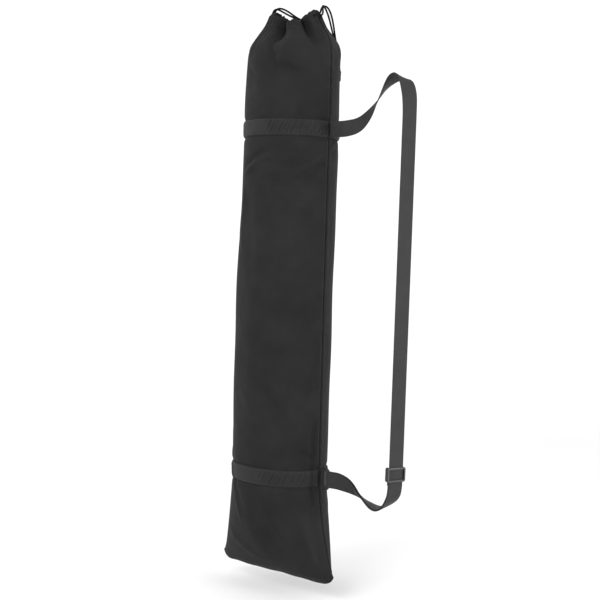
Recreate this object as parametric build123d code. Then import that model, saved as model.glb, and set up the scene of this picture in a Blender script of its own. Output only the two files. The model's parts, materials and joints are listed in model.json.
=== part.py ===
from build123d import *
from math import asin, cos, pi, radians, sin, sqrt, tan
import os

os.makedirs("parts", exist_ok=True)

# Drawstring carrying tube for rolled drawings: a sewn fabric tube that flattens into a straight
# bottom seam, two webbing bands, a gathered mouth with two drawstrings, and a shoulder strap.
# Millimetres. +Z runs up the tube towards the mouth, X runs from seam to seam, -Y is the front.
# The origin is the hanging point, level with the two ears of the gathered mouth.

# Fabric tube
BAG_LENGTH = 900.0            # ears down to the bottom seam
FLAT_WIDTH = 235.0            # bottom seam, end to end
SEAM_THICKNESS = 5.0          # closed layers at the bottom seam
PANEL_WALL = 2.0
UPPER_HALF_WIDTH = 77.0       # tube at the upper band
UPPER_HALF_DEPTH = 72.5
LOWER_HALF_WIDTH = 81.0       # tube at the lower band
LOWER_HALF_DEPTH = 67.5
SHOULDER_DROP = 72.0          # ears down to the full round
SHOULDER_HALF_WIDTH = 75.0
SHOULDER_HALF_DEPTH = 70.5
BOTTOM_WIDTH_POWER = 1.3      # how the round spreads into the flat seam
BOTTOM_DEPTH_POWER = 2.1
BOTTOM_FLOOR = 7.0            # sewn layers below the inner space
# Shares of the shoulder's height, of its width change and of its depth change, going up
SHOULDER_CURVE = [(0.365, 0.04, 0.37), (0.654, 0.27, 0.90), (0.846, 0.63, 0.96)]

# Gathered casing round the mouth
CASING_HALF_WIDTH = 50.0
CASING_HALF_DEPTH = 40.0
CASING_WALL = 7.0
CASING_HEIGHT = 18.0
EAR_DROP = 2.0                # top of the casing at its two ears
RIM_DIP = 18.0                # front and back middle hang this far below the ears
EXIT_HALF_GAP = 10.0          # half the opening that the cord ends leave by
EXIT_STUB = 1.0               # cord that shows before its free end begins
EXIT_RUN = 6.6                # straight start of a free end, across the opening

# Drawstrings
CORD_DIAMETER = 3.0
CHANNEL_CLEARANCE = 0.4
LEFT_CORD_DEPTH = 6.0         # cord below the casing's top edge
RIGHT_CORD_DEPTH = 11.0
KNOT_RADIUS = 4.6
KNOT_TAIL = 12.1              # cut ends, from the knot's middle down
KNOT_SPREAD = 1.9             # half the distance between the two cut ends

# Webbing bands, tabs and strap
WEBBING_WIDTH = 25.0
WEBBING_THICKNESS = 1.4
UPPER_BAND_DROP = 193.0       # ears down to the middle of the upper band
LOWER_BAND_RISE = 165.0       # bottom seam up to the middle of the lower band
TAB_ROOT = 8.0                # tab length caught inside the side seam
TAB_NECK = 1.8                # doubled webbing between the band and its loop
HINGE_STANDOFF = 5.6          # lower band's face out to the hinge line
MOVING_GAP = 0.3
TACK_PROUD = 0.5
TACK_WIDTH = 1.2
TACK_PITCH = 2.6
TACK_HEIGHT = 21.0

# Lower ring
RING_ROD = 3.4
RING_REACH = 12.0             # between the middles of its two upright bars
RING_CORNER = 2.6
SIDE_PLAY = 0.8               # webbing edge to ring or slide, each side
TAB_RUNNING_GAP = 0.15

# Seams
SEAM_ALLOWANCE = 9.0
BINDING_HALF = 1.1            # half the thickness of the bound layers
BINDING_GAP = 0.1
BINDING_LOW = 30.0 - BAG_LENGTH
BINDING_HIGH = -40.0

# Strap adjuster
ADJUSTER_LENGTH = 22.0
ADJUSTER_BAR = 3.0            # top and bottom bars
ADJUSTER_SIDE = 2.7
ADJUSTER_FACE = 1.6           # thickness of the front bars
CENTRE_BAR_WIDTH = 5.0
CENTRE_BAR_FACE = 1.8
ADJUSTER_DROP = 708.0         # ears down to the middle of the adjuster
SEWN_TAIL = 16.0              # sewn webbing end, from the adjuster's middle down
RUN_TURN = 20.0               # the straight run's face, turned from facing away from the tube

UPPER_BAND_Z = -UPPER_BAND_DROP
LOWER_BAND_Z = LOWER_BAND_RISE - BAG_LENGTH
HINGE_X = LOWER_HALF_WIDTH + WEBBING_THICKNESS + HINGE_STANDOFF
ROD_RADIUS = RING_ROD / 2
OUTER_BAR_X = HINGE_X + RING_REACH
WRAP_OFFSET = ROD_RADIUS + MOVING_GAP + WEBBING_THICKNESS / 2
LAYER_OFFSET = WEBBING_THICKNESS + MOVING_GAP
HALF_WEB = WEBBING_WIDTH / 2
RUN_FACE = (sin(radians(RUN_TURN)), cos(radians(RUN_TURN)), 0.0)
ADJUSTER_Z = -ADJUSTER_DROP

# Route of the strap's middle line, with the direction across the webbing at each point.
# It leaves the upper tab, turns a quarter as it climbs, folds over its crest, runs straight
# down and turns back a quarter to pass round the lower ring.
RUN_X = 227.0
STRAP_ROUTE = [
    ((HINGE_X + 1.1, 0, UPPER_BAND_Z), (0, 0, 1)),
    ((110, 0, -193), (0, 0, 1)),
    ((130, 7, -188), (-0.40, 0.22, 0.89)),
    ((149, 8, -171), (-0.57, 0.53, 0.63)),
    ((163, 7, -153), (-0.39, 0.82, 0.42)),
    ((178, 5, -134), (-0.47, 0.87, -0.05)),
    ((198, 4, -117), (0.15, 0.93, -0.33)),
    ((216, 2, -123), (0.50, 0.80, -0.30)),
    ((226, -1, -145), (0.46, 0.88, 0)),
    ((RUN_X, 0, -170), RUN_FACE),
    ((RUN_X, 0, -731), RUN_FACE),
    ((221, 4, -746), (0.20, 0.97, -0.10)),
    ((206, 7, -762), (-0.05, 0.97, 0.15)),
    ((188, 8, -769), (0, 1, 0.08)),
    ((164, 8, -758), (0, 0.88, -0.47)),
    ((140, 6, -743), (0, 0.50, -0.86)),
    ((120, 0, -735.5), (0, 0.15, -0.99)),
    ((107, -WRAP_OFFSET, LOWER_BAND_Z), (0, 0, -1)),
    ((OUTER_BAR_X, -WRAP_OFFSET, LOWER_BAND_Z), (0, 0, -1)),
]
STATION_STEP = 5.0

# Free drawstring ends, from the point where each leaves the ear to its knot
LEFT_KNOT = (2, 77, -97)
LEFT_FRONT_ROUTE = [(-44, -2.5, 2), (-35, -3, 2.5), (-24, 1, -4), (-12, 7, -11), (-3, 19, -14),
                    (0, 33, -14), (1.5, 46, -17), (3, 57, -32), (4.5, 67, -52), (4.6, 74.5, -70),
                    (4, 76.5, -84), (3.9, 76.6, -94)]
LEFT_BACK_ROUTE = [(-45, 2.7, 4), (-36, 6, 6), (-25, 12, 0), (-15, 20, -9), (-7.5, 31, -14),
                   (-5, 44, -16), (-4.5, 54, -27), (-3.5, 63, -43), (-2, 70.5, -59),
                   (-0.5, 75.5, -73), (0, 77, -85), (0.1, 77.1, -94)]
RIGHT_KNOT = (37.5, 68.6, -95)
RIGHT_FRONT_ROUTE = [(53, -2.8, -13), (54, -1, -2.5), (56.5, 7, -0.5), (54, 18, -4), (50.5, 29, -12),
                     (46.5, 39.5, -25), (42.5, 49.5, -42), (40.5, 58.5, -58), (39.5, 64.5, -74),
                     (39.4, 68, -92)]
RIGHT_BACK_ROUTE = [(54, 2.8, -13.5), (51.5, 5, -4), (47, 10, 3), (44.5, 20.5, -1), (43, 31, -12),
                    (40.5, 42, -28), (38, 52.5, -44), (36.5, 61.7, -60), (35.8, 66, -76),
                    (35.6, 68.3, -92)]


def blend(low, high, share):
    return low + (high - low) * share


def tube_sections():
    """Height, half width and half depth of the outer tube, from the bottom seam up."""
    sections = []
    for step in range(9):
        share = (1 - step / 8) ** 0.7
        z = blend(LOWER_BAND_Z - WEBBING_WIDTH, -BAG_LENGTH, share)
        half_width = blend(LOWER_HALF_WIDTH, FLAT_WIDTH / 2, share ** BOTTOM_WIDTH_POWER)
        half_depth = blend(LOWER_HALF_DEPTH, SEAM_THICKNESS / 2, share ** BOTTOM_DEPTH_POWER)
        sections.append((z, half_width, half_depth))
    sections.append((LOWER_BAND_Z + WEBBING_WIDTH, LOWER_HALF_WIDTH, LOWER_HALF_DEPTH))
    sections.append((UPPER_BAND_Z - WEBBING_WIDTH, UPPER_HALF_WIDTH, UPPER_HALF_DEPTH))
    sections.append((UPPER_BAND_Z + WEBBING_WIDTH, UPPER_HALF_WIDTH, UPPER_HALF_DEPTH))
    sections.append((-SHOULDER_DROP, SHOULDER_HALF_WIDTH, SHOULDER_HALF_DEPTH))
    neck_width = CASING_HALF_WIDTH - 0.5
    neck_depth = CASING_HALF_DEPTH - CASING_WALL / 2
    neck_z = -(EAR_DROP + CASING_HEIGHT)
    for rise, width_share, depth_share in SHOULDER_CURVE:
        sections.append((blend(-SHOULDER_DROP, neck_z, rise),
                         blend(SHOULDER_HALF_WIDTH, neck_width, width_share),
                         blend(SHOULDER_HALF_DEPTH, neck_depth, depth_share)))
    sections.append((neck_z, neck_width, neck_depth))
    sections.append((EAR_DROP, neck_width, neck_depth))
    return sections


def tube_solid(grow=0.0, grow_depth=None, floor=0.0):
    """The closed outer tube, grown or shrunk all round, with its floor raised."""
    grow_depth = grow if grow_depth is None else grow_depth
    faces = []
    for z, half_width, half_depth in tube_sections():
        depth = max(half_depth + grow_depth, 1.2)
        height = z + floor if z == -BAG_LENGTH else z
        faces.append(Pos(0, 0, height) * Ellipse(half_width + grow, depth))
    return loft(faces, ruled=True)


def slab(low, high):
    """A wide block between two heights."""
    reach = 2 * FLAT_WIDTH
    return Pos(0, 0, (low + high) / 2) * Box(reach, reach, high - low)


def half_space(side):
    """Everything in front of (side -1) or behind (side 1) the plane of the side seams."""
    reach = 3 * BAG_LENGTH
    return Pos(0, side * reach / 2, 0) * Box(reach, reach, reach)


def rim_height(x):
    """Height of the casing's top edge at a distance from the middle of the mouth."""
    reach = CASING_HALF_WIDTH
    radius = (reach ** 2 + RIM_DIP ** 2) / (2 * RIM_DIP)
    return -EAR_DROP - RIM_DIP + radius - sqrt(radius ** 2 - min(abs(x), reach) ** 2)


def saddle_block(top_drop, bottom_drop):
    """The space between two saddle curves, each a constant drop below the casing's top edge."""
    reach = CASING_HALF_WIDTH + 2
    radius = (CASING_HALF_WIDTH ** 2 + RIM_DIP ** 2) / (2 * RIM_DIP)
    end_rise = radius - sqrt(radius ** 2 - reach ** 2)
    low = -EAR_DROP - RIM_DIP
    wall = reach + FLAT_WIDTH
    end = low + end_rise - top_drop
    top = [(-reach, end), (0, low - top_drop), (reach, end)]
    base = [(x, z + top_drop - bottom_drop) for x, z in top]
    with BuildSketch(Plane.XZ) as profile:
        with BuildLine():
            ThreePointArc(*top)
            Polyline(top[2], (wall, top[2][1]), (wall, base[2][1]), base[2])
            ThreePointArc(*reversed(base))
            Polyline(base[0], (-wall, base[0][1]), (-wall, top[0][1]), top[0])
        make_face()
    return extrude(profile.sketch, amount=FLAT_WIDTH, both=True)


def mouth_ring(outer_inset, inner_inset):
    """An upright ring round the mouth between two insets from the casing's outer face."""
    def oval(inset):
        return SlotOverall(2 * (CASING_HALF_WIDTH - inset), 2 * (CASING_HALF_DEPTH - inset))
    ring = oval(outer_inset) - oval(inner_inset)
    return Pos(0, 0, -BAG_LENGTH / 8) * extrude(ring, amount=BAG_LENGTH / 4)


def corner_radii(points):
    """Tangent arc at each corner, reaching 0.45 of the way along the shorter run."""
    radii = []
    for before, here, after in zip(points, points[1:], points[2:]):
        run_in = Vector(*here) - Vector(*before)
        run_out = Vector(*after) - Vector(*here)
        turn = radians(run_in.get_angle(run_out))
        radii.append(0.45 * min(run_in.length, run_out.length) / tan(turn / 2))
    return radii


def cord_path(name, points):
    """A route of straight runs joined by tangent arcs, with its radii printed."""
    radii = corner_radii(points)
    path = FilletPolyline(*points, radius=radii)
    print(name, "length", round(path.length, 1), "radii", [round(r, 1) for r in radii])
    return path


def tube_along(path, radius):
    """A round tube along a path."""
    return sweep(Plane(origin=path @ 0, z_dir=path % 0) * Circle(radius), path=path)


def casing_route(depth, side):
    """Points of a drawstring inside the casing, from one side of its exit round to the other."""
    inset = CASING_WALL / 2
    end_radius = CASING_HALF_DEPTH - inset
    straight = CASING_HALF_WIDTH - CASING_HALF_DEPTH
    start = asin((EXIT_HALF_GAP - EXIT_STUB) / end_radius)
    arc = [blend(start, pi / 2, step / 4) for step in range(5)]
    near = [(straight + end_radius * cos(a), -end_radius * sin(a)) for a in arc]
    far_arc = [pi / 2 * step / 4 for step in range(4, -1, -1)]
    far = [(-straight - end_radius * cos(a), -end_radius * sin(a)) for a in far_arc]
    front = near + [(0, -end_radius - 0.4)] + far
    back = [(x, -y) for x, y in reversed(front[:-1])]
    return [(side * x, y, rim_height(x) - depth) for x, y in front + back]


def strand_route(inside_point, exit_point, points):
    """A free cord end: straight on from the casing route's end, round the ear and to its knot."""
    straight = (Vector(*exit_point) - Vector(*inside_point)).normalized()
    turn = Vector(*exit_point) + straight * EXIT_RUN
    return [exit_point, (turn.X, turn.Y, turn.Z)] + list(points)


def ribbon(stations, thickness):
    """A flat webbing strip through stations of point, direction along and direction across."""
    faces = []
    for point, along, across in stations:
        plane = Plane(origin=point, x_dir=across, z_dir=along)
        faces.append(plane * Rectangle(WEBBING_WIDTH, thickness))
    return loft(faces, ruled=True)


def strap_stations():
    """Stations along the strap's route, close together in the turns and none in the straight run."""
    points = [point for point, _ in STRAP_ROUTE]
    path = cord_path("shoulder_strap", points)
    count = int(path.length / STATION_STEP)
    marks = []
    for point, _ in STRAP_ROUTE:
        gaps = [((path @ (i / count)) - Vector(*point)).length for i in range(count + 1)]
        marks.append(gaps.index(min(gaps)) / count)
    stations = []
    for i in range(count + 1):
        share = i / count
        place = path @ share
        in_run = -715 < place.Z < -180 and place.X > RUN_X - 0.01
        if in_run:
            continue
        leg = max(k for k in range(len(marks) - 1) if marks[k] <= share)
        fraction = (share - marks[leg]) / (marks[leg + 1] - marks[leg])
        fraction = min(fraction, 1.0)
        from_across, to_across = Vector(*STRAP_ROUTE[leg][1]), Vector(*STRAP_ROUTE[leg + 1][1])
        across = from_across * (1 - fraction) + to_across * fraction
        along = (path % share).normalized()
        across = (across - along * across.dot(along)).normalized()
        stations.append((place, along, across))
    return stations


def return_stations(stations):
    """The doubled layer: the strap's own line below the adjuster, set off towards the tube."""
    lower = [s for s in stations if s[0].Z < ADJUSTER_Z and s[0].X > OUTER_BAR_X - 1]
    top = Vector(RUN_X, 0, ADJUSTER_Z - SEWN_TAIL)
    lower = [(top, Vector(0, 0, -1), Vector(*RUN_FACE))] + [s for s in lower if s[0].Z < top.Z - 2]
    offset = []
    for i, (place, along, across) in enumerate(lower):
        share = i / (len(lower) - 1)
        gap = blend(LAYER_OFFSET, 2 * WRAP_OFFSET, share ** 2)
        offset.append((place - along.cross(across) * gap, along, across))
    return offset


def upright(profile, middle_z, height):
    """A flat profile in X and Y, extruded to a height about a middle height."""
    return Pos(0, 0, middle_z) * extrude(profile, amount=height / 2, both=True)


def rectangle_between(x_low, x_high, y_low, y_high):
    return Pos((x_low + x_high) / 2, (y_low + y_high) / 2) * Rectangle(x_high - x_low, y_high - y_low)


def upper_tab():
    """Single webbing end caught in the right side seam, with a rounded hinge nose."""
    half = WEBBING_THICKNESS / 2
    root_x = UPPER_HALF_WIDTH - TAB_ROOT
    profile = rectangle_between(root_x, HINGE_X, -half, half) + Pos(HINGE_X, 0) * Circle(half)
    return upright(profile, UPPER_BAND_Z, WEBBING_WIDTH)


def lower_tab():
    """Doubled webbing caught in the seam and looped round the ring's inner bar."""
    loop_radius = ROD_RADIUS + TAB_RUNNING_GAP + WEBBING_THICKNESS
    root_x = LOWER_HALF_WIDTH - TAB_ROOT
    neck_x = LOWER_HALF_WIDTH + WEBBING_THICKNESS + TAB_NECK
    neck = WEBBING_THICKNESS
    profile = rectangle_between(root_x, HINGE_X, -neck, neck)
    flare = 0.95 * loop_radius
    profile += make_face(Polyline((neck_x, -neck), (HINGE_X - 1, -flare), (HINGE_X, -loop_radius),
                                  (HINGE_X, loop_radius), (HINGE_X - 1, flare), (neck_x, neck),
                                  close=True))
    profile += Pos(HINGE_X, 0) * Circle(loop_radius)
    profile -= Pos(HINGE_X, 0) * Circle(ROD_RADIUS + TAB_RUNNING_GAP)
    return upright(profile, LOWER_BAND_Z, WEBBING_WIDTH)


def ring():
    """Rectangular rod ring, its inner bar on the hinge line."""
    height = WEBBING_WIDTH + 2 * SIDE_PLAY + RING_ROD
    centre = ((HINGE_X + OUTER_BAR_X) / 2, 0, LOWER_BAND_Z)
    middle = Plane(origin=centre, x_dir=(1, 0, 0), z_dir=(0, -1, 0))
    path = (middle * RectangleRounded(RING_REACH, height, RING_CORNER)).face().outer_wire()
    return sweep(Plane(origin=path @ 0, z_dir=path % 0) * Circle(ROD_RADIUS), path=path)


def block(x_low, x_high, y_low, y_high, z_low, z_high):
    size = (x_high - x_low, y_high - y_low, z_high - z_low)
    middle = ((x_low + x_high) / 2, (y_low + y_high) / 2, (z_low + z_high) / 2)
    return Pos(*middle) * Box(*size)


def adjuster():
    """Three-bar slide: two front bars, and a centre bar set back behind the strap."""
    front = WEBBING_THICKNESS / 2 + MOVING_GAP
    bar_front = -(front + WEBBING_THICKNESS)
    bar_back = bar_front - CENTRE_BAR_FACE
    half_inner = HALF_WEB + SIDE_PLAY
    half_outer = half_inner + ADJUSTER_SIDE
    half_length = ADJUSTER_LENGTH / 2
    body = block(-half_outer, half_outer, bar_back, front + ADJUSTER_FACE, -half_length, half_length)
    body = fillet(body.edges().filter_by(Axis.Y), ADJUSTER_BAR)
    body = fillet(body.edges().group_by(Axis.Y)[-1], 0.7)
    window = block(-half_inner, half_inner, bar_back - 1, front + ADJUSTER_FACE + 1,
                   -half_length + ADJUSTER_BAR, half_length - ADJUSTER_BAR)
    behind = block(-half_inner, half_inner, bar_back - 1, front, -half_length - 1, half_length + 1)
    bar = block(-half_inner, half_inner, bar_back, bar_front, -CENTRE_BAR_WIDTH / 2, CENTRE_BAR_WIDTH / 2)
    return body - window - behind + bar


def sewn_end():
    """The strap's end, folded round the centre bar and sewn back on itself."""
    front = -(WEBBING_THICKNESS / 2 + MOVING_GAP)
    bar_front = front - WEBBING_THICKNESS
    bar_back = bar_front - CENTRE_BAR_FACE
    back = bar_back - WEBBING_THICKNESS
    half_bar = CENTRE_BAR_WIDTH / 2
    half_fold = half_bar + WEBBING_THICKNESS
    fold = block(-HALF_WEB, HALF_WEB, back, front, -half_fold, half_fold)
    fold -= block(-HALF_WEB, HALF_WEB, bar_back, bar_front, -half_bar, half_bar)
    tail = block(-HALF_WEB, HALF_WEB, bar_front - WEBBING_THICKNESS, front, -SEWN_TAIL, -half_fold)
    return fold + tail


def tacks(x_start, count, face, middle_z, height):
    """Upright bar tacks of thread on both faces of a webbing, in from one end."""
    bars = []
    for side in (-1, 1):
        for k in range(count):
            place = Pos(x_start + k * TACK_PITCH, side * (face + TACK_PROUD / 2), middle_z)
            bars.append(place * Box(TACK_WIDTH, TACK_PROUD, height))
    return Compound(children=bars)


def knot(centre):
    """An overhand knot's outer shape with its two cut ends."""
    ball = Pos(*centre) * Rot(90, 0, 0) * Sphere(KNOT_RADIUS)
    for side in (-1, 1):
        tail = Cylinder(CORD_DIAMETER / 2, KNOT_TAIL, align=(Align.CENTER, Align.CENTER, Align.MAX))
        ball += Pos(centre[0] + side * KNOT_SPREAD, centre[1], centre[2]) * tail
    return ball


outer = tube_solid()
inner = tube_solid(-PANEL_WALL, floor=BOTTOM_FLOOR)
below_casing = saddle_block(CASING_HEIGHT, BAG_LENGTH)
shell = (outer - inner) & below_casing
root_tab = upper_tab()
ring_tab = lower_tab()
panels = {name: (shell & half_space(side)) - root_tab - ring_tab
          for name, side in (("front_panel", -1), ("back_panel", 1))}


def side_binding(side):
    """Bound seam allowance standing in from a side seam."""
    sections = [s for s in tube_sections() if BINDING_LOW < s[0] < BINDING_HIGH]
    edge = [(side * (half_width - PANEL_WALL - BINDING_GAP), z) for z, half_width, _ in sections]
    inset = [(x - side * SEAM_ALLOWANCE, z) for x, z in reversed(edge)]
    outline = Plane.XZ * make_face(Polyline(*edge, *inset, close=True))
    return extrude(outline, amount=BINDING_HALF, both=True) - root_tab - ring_tab


floor_z = -BAG_LENGTH + BOTTOM_FLOOR
binding_reach = FLAT_WIDTH / 2 - 2 * SEAM_ALLOWANCE
bottom_binding = inner & block(-binding_reach, binding_reach, -BINDING_HALF, BINDING_HALF,
                               floor_z, floor_z + SEAM_ALLOWANCE)


def band(middle_z):
    """Webbing sewn round the tube, open where a tab comes out of the right seam."""
    wrapped = tube_solid(WEBBING_THICKNESS) - outer
    return (wrapped & slab(middle_z - HALF_WEB, middle_z + HALF_WEB)) - root_tab - ring_tab


casing_body = mouth_ring(0, CASING_WALL) & saddle_block(0, CASING_HEIGHT)
casing_body -= block(-BAG_LENGTH, BAG_LENGTH, -EXIT_HALF_GAP, EXIT_HALF_GAP, -BAG_LENGTH, BAG_LENGTH)
cords = {}
for name, depth, side in (("left", LEFT_CORD_DEPTH, -1), ("right", RIGHT_CORD_DEPTH, 1)):
    route = casing_route(depth, side)
    path = cord_path(name + "_drawstring_run", route)
    cords[name + "_drawstring_run"] = tube_along(path, CORD_DIAMETER / 2)
    casing_body -= tube_along(path, CORD_DIAMETER / 2 + CHANNEL_CLEARANCE)
    cords[name + "_ends"] = {"front": (route[1], route[0]), "back": (route[-2], route[-1])}
casings = {name: casing_body & half_space(side) for name, side in (("front_casing", -1), ("back_casing", 1))}

strands = {}
for name, front_route, back_route, centre in (("left", LEFT_FRONT_ROUTE, LEFT_BACK_ROUTE, LEFT_KNOT),
                                              ("right", RIGHT_FRONT_ROUTE, RIGHT_BACK_ROUTE, RIGHT_KNOT)):
    ball = knot(centre)
    ends = cords.pop(name + "_ends")
    for place, route in (("front", front_route), ("back", back_route)):
        node = f"{name}_strand_{place}"
        points = strand_route(*ends[place], route)
        path = cord_path(node, points)
        tube = tube_along(path, CORD_DIAMETER / 2)
        strands[node] = tube - ball
    strands[name + "_knot"] = ball

stations = strap_stations()
wrap_reach = WRAP_OFFSET + WEBBING_THICKNESS
half_ring = Pos(OUTER_BAR_X, 0) * (Circle(WRAP_OFFSET + WEBBING_THICKNESS / 2)
                                   - Circle(WRAP_OFFSET - WEBBING_THICKNESS / 2))
half_ring = half_ring & rectangle_between(OUTER_BAR_X - wrap_reach, OUTER_BAR_X, -wrap_reach, wrap_reach)
strap = ribbon(stations, WEBBING_THICKNESS) + upright(half_ring, LOWER_BAND_Z, WEBBING_WIDTH)
strap_return = ribbon(return_stations(stations), WEBBING_THICKNESS)

# In the adjuster's own frame, X is across the webbing, Y is away from the tube and Z is up the run
adjuster_plane = Plane(origin=(RUN_X, 0, ADJUSTER_Z), x_dir=(-RUN_FACE[0], -RUN_FACE[1], 0), z_dir=(0, 0, 1))
place_adjuster = adjuster_plane.location

tab_neck_x = LOWER_HALF_WIDTH + WEBBING_THICKNESS + TAB_NECK / 2
nodes = {
    **panels,
    "left_seam_binding": side_binding(-1),
    "right_seam_binding": side_binding(1),
    "bottom_seam_binding": bottom_binding,
    **casings,
    **cords,
    "upper_band": band(UPPER_BAND_Z),
    "lower_band": band(LOWER_BAND_Z),
    "upper_strap_tab": root_tab,
    "lower_ring_tab": ring_tab,
    "lower_ring": ring(),
    "ring_tab_tacks": tacks(tab_neck_x, 1, WEBBING_THICKNESS, LOWER_BAND_Z, TACK_HEIGHT),
    **strands,
    "shoulder_strap": strap,
    "strap_return": strap_return,
    "strap_end_tacks": tacks(HINGE_X + 4.5, 3, WEBBING_THICKNESS / 2, UPPER_BAND_Z, TACK_HEIGHT),
    "strap_adjuster": place_adjuster * adjuster(),
    "sewn_strap_end": place_adjuster * sewn_end(),
}
for name, solid in nodes.items():
    export_step(solid, f"parts/{name}.step")
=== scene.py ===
"""Drawstring carrying tube: cloth, webbing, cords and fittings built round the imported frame.

Metres throughout. +Z runs up the tube, X runs from seam to seam, -Y is the front. The origin is
the hanging point, level with the two ears of the gathered mouth.
"""

import json
import logging
from dataclasses import dataclass, field
from enum import Enum

import bmesh
import bpy
import numpy as np
from mathutils import Matrix, Vector

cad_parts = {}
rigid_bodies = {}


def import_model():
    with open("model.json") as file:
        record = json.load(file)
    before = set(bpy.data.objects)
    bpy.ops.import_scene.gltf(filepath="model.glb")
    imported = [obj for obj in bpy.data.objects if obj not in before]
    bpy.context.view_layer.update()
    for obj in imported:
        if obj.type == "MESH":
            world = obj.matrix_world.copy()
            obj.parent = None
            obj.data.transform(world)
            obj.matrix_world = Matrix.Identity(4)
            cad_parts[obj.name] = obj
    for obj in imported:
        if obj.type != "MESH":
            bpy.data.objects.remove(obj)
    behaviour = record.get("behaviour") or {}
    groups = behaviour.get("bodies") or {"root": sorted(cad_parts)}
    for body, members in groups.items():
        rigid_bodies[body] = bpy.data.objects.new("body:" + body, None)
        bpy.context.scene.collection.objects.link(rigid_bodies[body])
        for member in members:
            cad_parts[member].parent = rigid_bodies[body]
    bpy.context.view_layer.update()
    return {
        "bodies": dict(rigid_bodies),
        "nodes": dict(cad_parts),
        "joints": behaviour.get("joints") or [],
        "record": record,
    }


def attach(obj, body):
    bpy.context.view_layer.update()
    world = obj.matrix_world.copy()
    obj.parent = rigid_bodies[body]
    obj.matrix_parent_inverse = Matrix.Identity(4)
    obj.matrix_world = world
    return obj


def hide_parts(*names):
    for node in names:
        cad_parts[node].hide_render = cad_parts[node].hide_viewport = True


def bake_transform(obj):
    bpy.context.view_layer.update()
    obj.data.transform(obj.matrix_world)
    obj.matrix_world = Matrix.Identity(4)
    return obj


log = logging.getLogger("drawstring_tube")

MM = 0.001
UPPER_BAND_Z = -193 * MM
LOWER_BAND_Z = -735 * MM
BOTTOM_Z = -0.900
HALF_BOTTOM = 117.5 * MM


# ---------------------------------------------------------------------------
# Small numeric helpers
# ---------------------------------------------------------------------------


def hermite(where: np.ndarray, marks: np.ndarray, values: np.ndarray) -> np.ndarray:
    """Smooth curve through given values: a cubic between marks, with slopes that never overshoot.

    Args:
        where: Places to evaluate, any shape.
        marks: Increasing places of the known values.
        values: The known values.

    Returns:
        Array shaped like where.
    """
    gap = np.diff(marks)
    rise = np.diff(values) / gap
    slope = np.concatenate([[rise[0]], (rise[1:] + rise[:-1]) / 2, [rise[-1]]])
    slope[1:-1] = np.where(rise[1:] * rise[:-1] > 0, slope[1:-1], 0.0)
    limit = 3 * np.minimum(np.abs(np.append(rise, rise[-1])), np.abs(np.insert(rise, 0, rise[0])))
    slope = np.clip(slope, -limit, limit)
    place = np.clip(np.searchsorted(marks, where, side="right") - 1, 0, len(gap) - 1)
    t = np.clip((where - marks[place]) / gap[place], 0.0, 1.0)
    h00, h10 = 2 * t**3 - 3 * t**2 + 1, t**3 - 2 * t**2 + t
    h01, h11 = -2 * t**3 + 3 * t**2, t**3 - t**2
    return (h00 * values[place] + h10 * gap[place] * slope[place]
            + h01 * values[place + 1] + h11 * gap[place] * slope[place + 1])


def smooth_step(value: np.ndarray, low: float, high: float) -> np.ndarray:
    """Zero below low, one above high, and a smooth cubic between them."""
    t = np.clip((value - low) / (high - low), 0.0, 1.0)
    return t * t * (3 - 2 * t)


def unit(vectors: np.ndarray) -> np.ndarray:
    """Each vector divided by its length."""
    return vectors / np.maximum(np.linalg.norm(vectors, axis=-1, keepdims=True), 1e-12)


def arc_lengths(points: np.ndarray) -> np.ndarray:
    """Distance along a line of points, from its first point to each point."""
    return np.concatenate([[0.0], np.cumsum(np.linalg.norm(np.diff(points, axis=0), axis=1))])


def quadratic_spline(points: np.ndarray, count: int) -> np.ndarray:
    """Open uniform quadratic B-spline with clamped ends, sampled evenly in its parameter.

    Formula: each span is the parabola whose corner is a control point and whose ends are the
    middles of the two runs beside it; the first and last spans start and end on the end points.

    Args:
        points: Control points, one row each, any number of columns.
        count: How many samples.

    Returns:
        Samples, one row each.
    """
    spans = len(points) - 2
    knots = np.concatenate([[0, 0, 0], np.arange(1, spans), [spans] * 3]).astype(float)
    u = np.linspace(0, spans, count)
    basis = ((u[:, None] >= knots[None, :-1]) & (u[:, None] < knots[None, 1:])).astype(float)
    basis[-1, spans + 1] = 1.0
    for degree in (1, 2):
        left_gap = knots[degree:-1] - knots[:-degree - 1]
        right_gap = knots[degree + 1:] - knots[1:-degree]
        left = np.where(left_gap > 0,
                        (u[:, None] - knots[:-degree - 1]) / np.where(left_gap > 0, left_gap, 1), 0)
        right = np.where(right_gap > 0,
                         (knots[degree + 1:] - u[:, None]) / np.where(right_gap > 0, right_gap, 1), 0)
        basis = left * basis[:, :-1] + right * basis[:, 1:]
    return basis @ points


# ---------------------------------------------------------------------------
# Meshes
# ---------------------------------------------------------------------------


def grid_faces(rows: int, columns: int, wrap: bool) -> np.ndarray:
    """Four-sided faces of a grid of points, joined round its columns when wrap is set."""
    i, j = np.meshgrid(np.arange(rows - 1), np.arange(columns if wrap else columns - 1), indexing="ij")
    k = (j + 1) % columns
    this_row, next_row = i * columns, (i + 1) * columns
    return np.stack([this_row + j, this_row + k, next_row + k, next_row + j], -1).reshape(-1, 4)


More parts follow.
